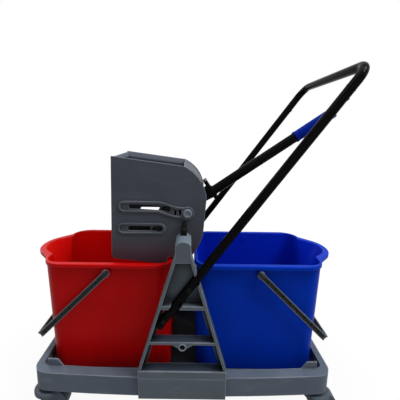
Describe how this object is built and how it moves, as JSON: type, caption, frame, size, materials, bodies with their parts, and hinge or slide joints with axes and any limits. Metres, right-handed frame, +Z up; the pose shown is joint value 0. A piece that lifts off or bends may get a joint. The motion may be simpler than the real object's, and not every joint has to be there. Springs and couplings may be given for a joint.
{
  "type": "mop wringer trolley",
  "caption": "Wheeled mop trolley with a red and a blue bucket on a tray, towers at the sides, a sloping push handle and a lever press wringer over the red bucket.",
  "frame": {"origin": "on the floor under the middle of the bounding box", "axes": "+X towards the end with the push handle, +Y towards the side away from the viewer, +Z up"},
  "size_m": [0.847, 0.43, 0.9019],
  "materials": {
    "base_plastic": "moulded grey plastic, lightly textured",
    "tower_plastic": "moulded grey plastic, lightly textured",
    "wringer_plastic": "moulded dark grey plastic, fine texture",
    "red_plastic": "moulded red plastic, satin gloss",
    "blue_plastic": "moulded blue plastic, satin gloss",
    "bail_plastic": "moulded grey plastic",
    "grip_plastic": "soft blue plastic grip",
    "black_plastic": "moulded black plastic",
    "black_paint": "gloss black powder coat on steel tube",
    "bolt_plastic": "grey moulded cap over the pivot bolt",
    "zinc_steel": "bright zinc plate",
    "dark_steel": "blackened steel",
    "spring_steel": "oiled spring wire",
    "castor_plastic": "moulded grey plastic",
    "tyre_rubber": "grey-black rubber tread"
  },
  "bodies": {
    "base": {"base_tray": "base_plastic", "tower_near": "tower_plastic", "tower_far": "tower_plastic", "tower_screws": "zinc_steel", "castor_sockets": "black_plastic", "handle_leg_near": "black_paint", "handle_leg_far": "black_paint", "handle_bow": "black_paint", "handle_bolts": "dark_steel", "handle_joint_screws": "dark_steel", "bucket_red": "red_plastic"},
    "castor_front_near_swivel": {"castor_front_near_stem": "zinc_steel", "castor_front_near_fork": "castor_plastic", "castor_front_near_axle": "zinc_steel"},
    "castor_front_near_roller": {"castor_front_near_wheel": "castor_plastic", "castor_front_near_tyre": "tyre_rubber"},
    "castor_front_far_swivel": {"castor_front_far_stem": "zinc_steel", "castor_front_far_fork": "castor_plastic", "castor_front_far_axle": "zinc_steel"},
    "castor_front_far_roller": {"castor_front_far_wheel": "castor_plastic", "castor_front_far_tyre": "tyre_rubber"},
    "castor_rear_near_swivel": {"castor_rear_near_stem": "zinc_steel", "castor_rear_near_fork": "castor_plastic", "castor_rear_near_axle": "zinc_steel"},
    "castor_rear_near_roller": {"castor_rear_near_wheel": "castor_plastic", "castor_rear_near_tyre": "tyre_rubber"},
    "castor_rear_far_swivel": {"castor_rear_far_stem": "zinc_steel", "castor_rear_far_fork": "castor_plastic", "castor_rear_far_axle": "zinc_steel"},
    "castor_rear_far_roller": {"castor_rear_far_wheel": "castor_plastic", "castor_rear_far_tyre": "tyre_rubber"},
    "bail_red": {"bail_red": "bail_plastic"},
    "bucket_blue": {"bucket_blue": "blue_plastic"},
    "bail_blue": {"bail_blue": "bail_plastic"},
    "wringer": {"wringer_side_near": "wringer_plastic", "wringer_side_far": "wringer_plastic", "wringer_front_wall": "wringer_plastic", "wringer_back_cover": "wringer_plastic", "wringer_floor": "wringer_plastic", "wringer_post_near": "black_plastic", "wringer_post_far": "black_plastic", "pivot_bolts": "bolt_plastic", "return_spring": "spring_steel"},
    "lever": {"lever_shaft": "zinc_steel", "lever_bracket": "black_paint", "lever_tube": "black_paint", "lever_grip": "grip_plastic", "crank_arms": "zinc_steel", "crank_pins": "zinc_steel"},
    "carriage": {"lower_rod": "dark_steel", "slide_yokes": "black_plastic", "slide_shoes": "black_plastic"},
    "jaw": {"press_plate": "wringer_plastic", "jaw_brackets": "black_plastic", "upper_rod": "dark_steel"}
  },
  "joints": [
    {"name": "castor_front_near_turn", "type": "hinge", "parent": "base", "child": "castor_front_near_swivel", "pos_m": [-0.362, -0.164, 0.07], "axis": [0, 0, 1], "continuous": true},
    {"name": "castor_front_near_spin", "type": "hinge", "parent": "castor_front_near_swivel", "child": "castor_front_near_roller", "pos_m": [-0.344, -0.164, 0.029], "axis": [0, 1, 0], "continuous": true},
    {"name": "castor_front_far_turn", "type": "hinge", "parent": "base", "child": "castor_front_far_swivel", "pos_m": [-0.362, 0.164, 0.07], "axis": [0, 0, 1], "continuous": true},
    {"name": "castor_front_far_spin", "type": "hinge", "parent": "castor_front_far_swivel", "child": "castor_front_far_roller", "pos_m": [-0.344, 0.164, 0.029], "axis": [0, 1, 0], "continuous": true},
    {"name": "castor_rear_near_turn", "type": "hinge", "parent": "base", "child": "castor_rear_near_swivel", "pos_m": [0.362, -0.164, 0.07], "axis": [0, 0, 1], "continuous": true},
    {"name": "castor_rear_near_spin", "type": "hinge", "parent": "castor_rear_near_swivel", "child": "castor_rear_near_roller", "pos_m": [0.38, -0.164, 0.029], "axis": [0, 1, 0], "continuous": true},
    {"name": "castor_rear_far_turn", "type": "hinge", "parent": "base", "child": "castor_rear_far_swivel", "pos_m": [0.362, 0.164, 0.07], "axis": [0, 0, 1], "continuous": true},
    {"name": "castor_rear_far_spin", "type": "hinge", "parent": "castor_rear_far_swivel", "child": "castor_rear_far_roller", "pos_m": [0.38, 0.164, 0.029], "axis": [0, 1, 0], "continuous": true},
    {"name": "bail_red_swing", "type": "hinge", "parent": "base", "child": "bail_red", "pos_m": [-0.1995, 0, 0.3874], "axis": [0, 1, 0], "range_deg": [0, 130]},
    {"name": "blue_bucket_lift", "type": "slide", "parent": "base", "child": "bucket_blue", "axis": [0.2873, 0, 0.9578], "range_m": [0, 0.05]},
    {"name": "bail_blue_swing", "type": "hinge", "parent": "bucket_blue", "child": "bail_blue", "pos_m": [0.1995, 0, 0.3874], "axis": [0, -1, 0], "range_deg": [0, 124]},
    {"name": "wringer_lift", "type": "slide", "parent": "base", "child": "wringer", "axis": [0, 0, 1], "range_m": [0, 0.05]},
    {"name": "lever_press", "type": "hinge", "parent": "wringer", "child": "lever", "pos_m": [0.0084, 0, 0.538], "axis": [0, 1, 0], "range_deg": [0, 46], "stiffness_Nm_per_rad": 4, "springref_deg": -45.84},
    {"name": "carriage_slide", "type": "slide", "parent": "wringer", "child": "carriage", "axis": [-1, 0, 0], "range_m": [0, 0.072]},
    {"name": "jaw_tilt", "type": "hinge", "parent": "carriage", "child": "jaw", "pos_m": [-0.066, 0, 0.4955], "axis": [0, -1, 0], "range_deg": [0, 23.9]}
  ],
  "couplings": [
    {"joint": "carriage_slide", "follows": "lever_press", "m_per_rad": 0.08968},
    {"joint": "jaw_tilt", "follows": "lever_press", "ratio": 0.51957}
  ]
}
